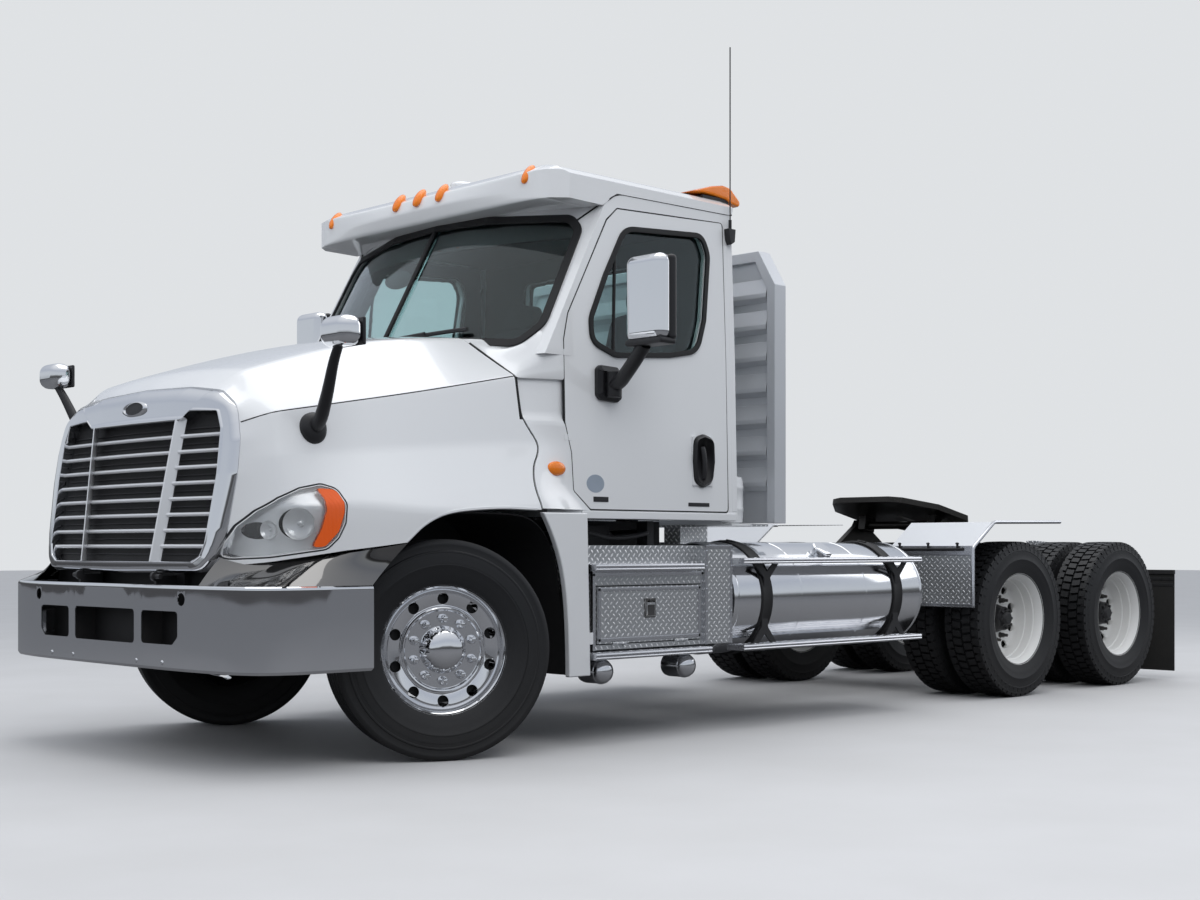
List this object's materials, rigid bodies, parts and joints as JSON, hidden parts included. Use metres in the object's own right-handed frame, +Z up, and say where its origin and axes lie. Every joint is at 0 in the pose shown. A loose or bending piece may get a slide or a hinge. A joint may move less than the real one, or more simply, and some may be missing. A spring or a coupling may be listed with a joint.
{
  "type": "semi truck tractor unit",
  "caption": "White day-cab semi truck tractor with a long tilting hood, chrome bumper and grille, side fuel tanks, cab rack, tandem dual drive wheels and a coupling plate.",
  "frame": {"origin": "middle of the whole box in X and Y, on the ground under the tyres", "axes": "+X forward, +Y to the truck's left, +Z up"},
  "size_m": [8.015, 3.12, 3.7148],
  "materials": {
    "white_paint": "gloss",
    "black_frame": "semi-gloss",
    "dark_iron": "rough",
    "bright_chrome": "polished",
    "polished_aluminium": "polished",
    "tread_plate": "embossed",
    "rack_aluminium": "brushed",
    "clear_glass": "clear",
    "amber_plastic": "gloss",
    "black_plastic": "satin",
    "tyre_rubber": "matte",
    "flap_rubber": "matte",
    "white_wheel": "satin",
    "grey_fabric": "woven",
    "grey_trim": "grained",
    "greased_steel": "oily"
  },
  "bodies": {
    "chassis": {"frame_rails": "black_frame", "crossmembers": "black_frame", "front_axle": "black_frame", "drive_axles": "dark_iron", "rear_suspension": "dark_iron", "engine": "dark_iron", "bumper": "bright_chrome", "cab_floor": "white_paint", "cab_back": "white_paint", "cab_cowl": "white_paint", "cab_side_left": "white_paint", "cab_side_right": "white_paint", "cab_glass": "clear_glass", "roof_cap": "white_paint", "lamps": "amber_plastic", "cab_fittings": "black_plastic", "seats": "grey_fabric", "dashboard": "grey_trim", "skirts": "white_paint", "side_boxes": "tread_plate", "side_steps": "tread_plate", "fuel_tanks": "polished_aluminium", "tank_mounts": "black_frame", "reservoirs": "white_paint", "deck_plates": "tread_plate", "cab_guard": "rack_aluminium", "quarter_fenders": "tread_plate", "mud_flaps": "flap_rubber", "fifth_wheel_base": "greased_steel"},
    "hood": {"hood_shell": "white_paint", "headlights": "clear_glass", "grille_surround": "bright_chrome", "grille_bars": "bright_chrome", "hood_mirrors": "bright_chrome"},
    "door_left": {"door_panel_left": "white_paint", "door_glass_left": "clear_glass", "door_mirror_left": "bright_chrome"},
    "door_right": {"door_panel_right": "white_paint", "door_glass_right": "clear_glass", "door_mirror_right": "bright_chrome"},
    "toolbox_lid": {"toolbox_door": "tread_plate"},
    "coupling_plate": {"fifth_wheel_plate": "greased_steel"},
    "steering_link": {"tie_rod": "black_frame"},
    "left_knuckle": {"knuckle_left": "dark_iron"},
    "right_knuckle": {"knuckle_right": "dark_iron"},
    "left_front_wheel": {"steer_tyre_left": "tyre_rubber", "steer_rim_left": "polished_aluminium"},
    "right_front_wheel": {"steer_tyre_right": "tyre_rubber", "steer_rim_right": "polished_aluminium"},
    "drive_wheel_1_left": {"drive_tyres_1_left": "tyre_rubber", "drive_rims_1_left": "white_wheel"},
    "drive_wheel_1_right": {"drive_tyres_1_right": "tyre_rubber", "drive_rims_1_right": "white_wheel"},
    "drive_wheel_2_left": {"drive_tyres_2_left": "tyre_rubber", "drive_rims_2_left": "white_wheel"},
    "drive_wheel_2_right": {"drive_tyres_2_right": "tyre_rubber", "drive_rims_2_right": "white_wheel"}
  },
  "joints": [
    {"name": "hood_tilt", "type": "hinge", "parent": "chassis", "child": "hood", "pos_m": [3.9405, 0, 0.85], "axis": [0, 1, 0], "range_deg": [0, 75]},
    {"name": "door_left_swing", "type": "hinge", "parent": "chassis", "child": "door_left", "pos_m": [2.1085, 1.088, 1.6], "axis": [0, 0, -1], "range_deg": [0, 70]},
    {"name": "door_right_swing", "type": "hinge", "parent": "chassis", "child": "door_right", "pos_m": [2.1085, -1.088, 1.6], "axis": [0, 0, 1], "range_deg": [0, 70]},
    {"name": "toolbox_drop", "type": "hinge", "parent": "chassis", "child": "toolbox_lid", "pos_m": [1.5975, 1.176, 0.501], "axis": [-1, 0, 0], "range_deg": [0, 90]},
    {"name": "steer_left", "type": "hinge", "parent": "chassis", "child": "left_knuckle", "pos_m": [2.7925, 0.87, 0.51], "axis": [0, 0, 1], "range_deg": [-16.5, 63.5]},
    {"name": "steer_right", "type": "hinge", "parent": "chassis", "child": "right_knuckle", "pos_m": [2.7925, -0.87, 0.51], "axis": [0, 0, 1], "range_deg": [-16.5, 63.5]},
    {"name": "link_swing", "type": "hinge", "parent": "left_knuckle", "child": "steering_link", "pos_m": [2.61826, 0.94576, 0.385], "axis": [0, 0, 1], "range_deg": [-63.5, 16.5]},
    {"name": "left_front_spin", "type": "hinge", "parent": "left_knuckle", "child": "left_front_wheel", "pos_m": [2.85431, 1.01214, 0.51], "axis": [0.3987, 0.9171, 0], "continuous": true},
    {"name": "right_front_spin", "type": "hinge", "parent": "right_knuckle", "child": "right_front_wheel", "pos_m": [2.73069, -1.01214, 0.51], "axis": [0.3987, 0.9171, 0], "continuous": true},
    {"name": "coupling_tilt", "type": "hinge", "parent": "chassis", "child": "coupling_plate", "pos_m": [-2.2275, 0, 1.14], "axis": [0, 1, 0], "range_deg": [-3, 27]},
    {"name": "drive_1_left_spin", "type": "hinge", "parent": "chassis", "child": "drive_wheel_1_left", "pos_m": [-1.8775, 0.905, 0.51], "axis": [0, 1, 0], "continuous": true},
    {"name": "drive_1_right_spin", "type": "hinge", "parent": "chassis", "child": "drive_wheel_1_right", "pos_m": [-1.8775, -0.905, 0.51], "axis": [0, 1, 0], "continuous": true},
    {"name": "drive_2_left_spin", "type": "hinge", "parent": "chassis", "child": "drive_wheel_2_left", "pos_m": [-3.1975, 0.905, 0.51], "axis": [0, 1, 0], "continuous": true},
    {"name": "drive_2_right_spin", "type": "hinge", "parent": "chassis", "child": "drive_wheel_2_right", "pos_m": [-3.1975, -0.905, 0.51], "axis": [0, 1, 0], "continuous": true}
  ],
  "couplings": [
    {"joint": "steer_right", "follows": "steer_left", "ratio": 1},
    {"joint": "link_swing", "follows": "steer_left", "ratio": -1}
  ]
}
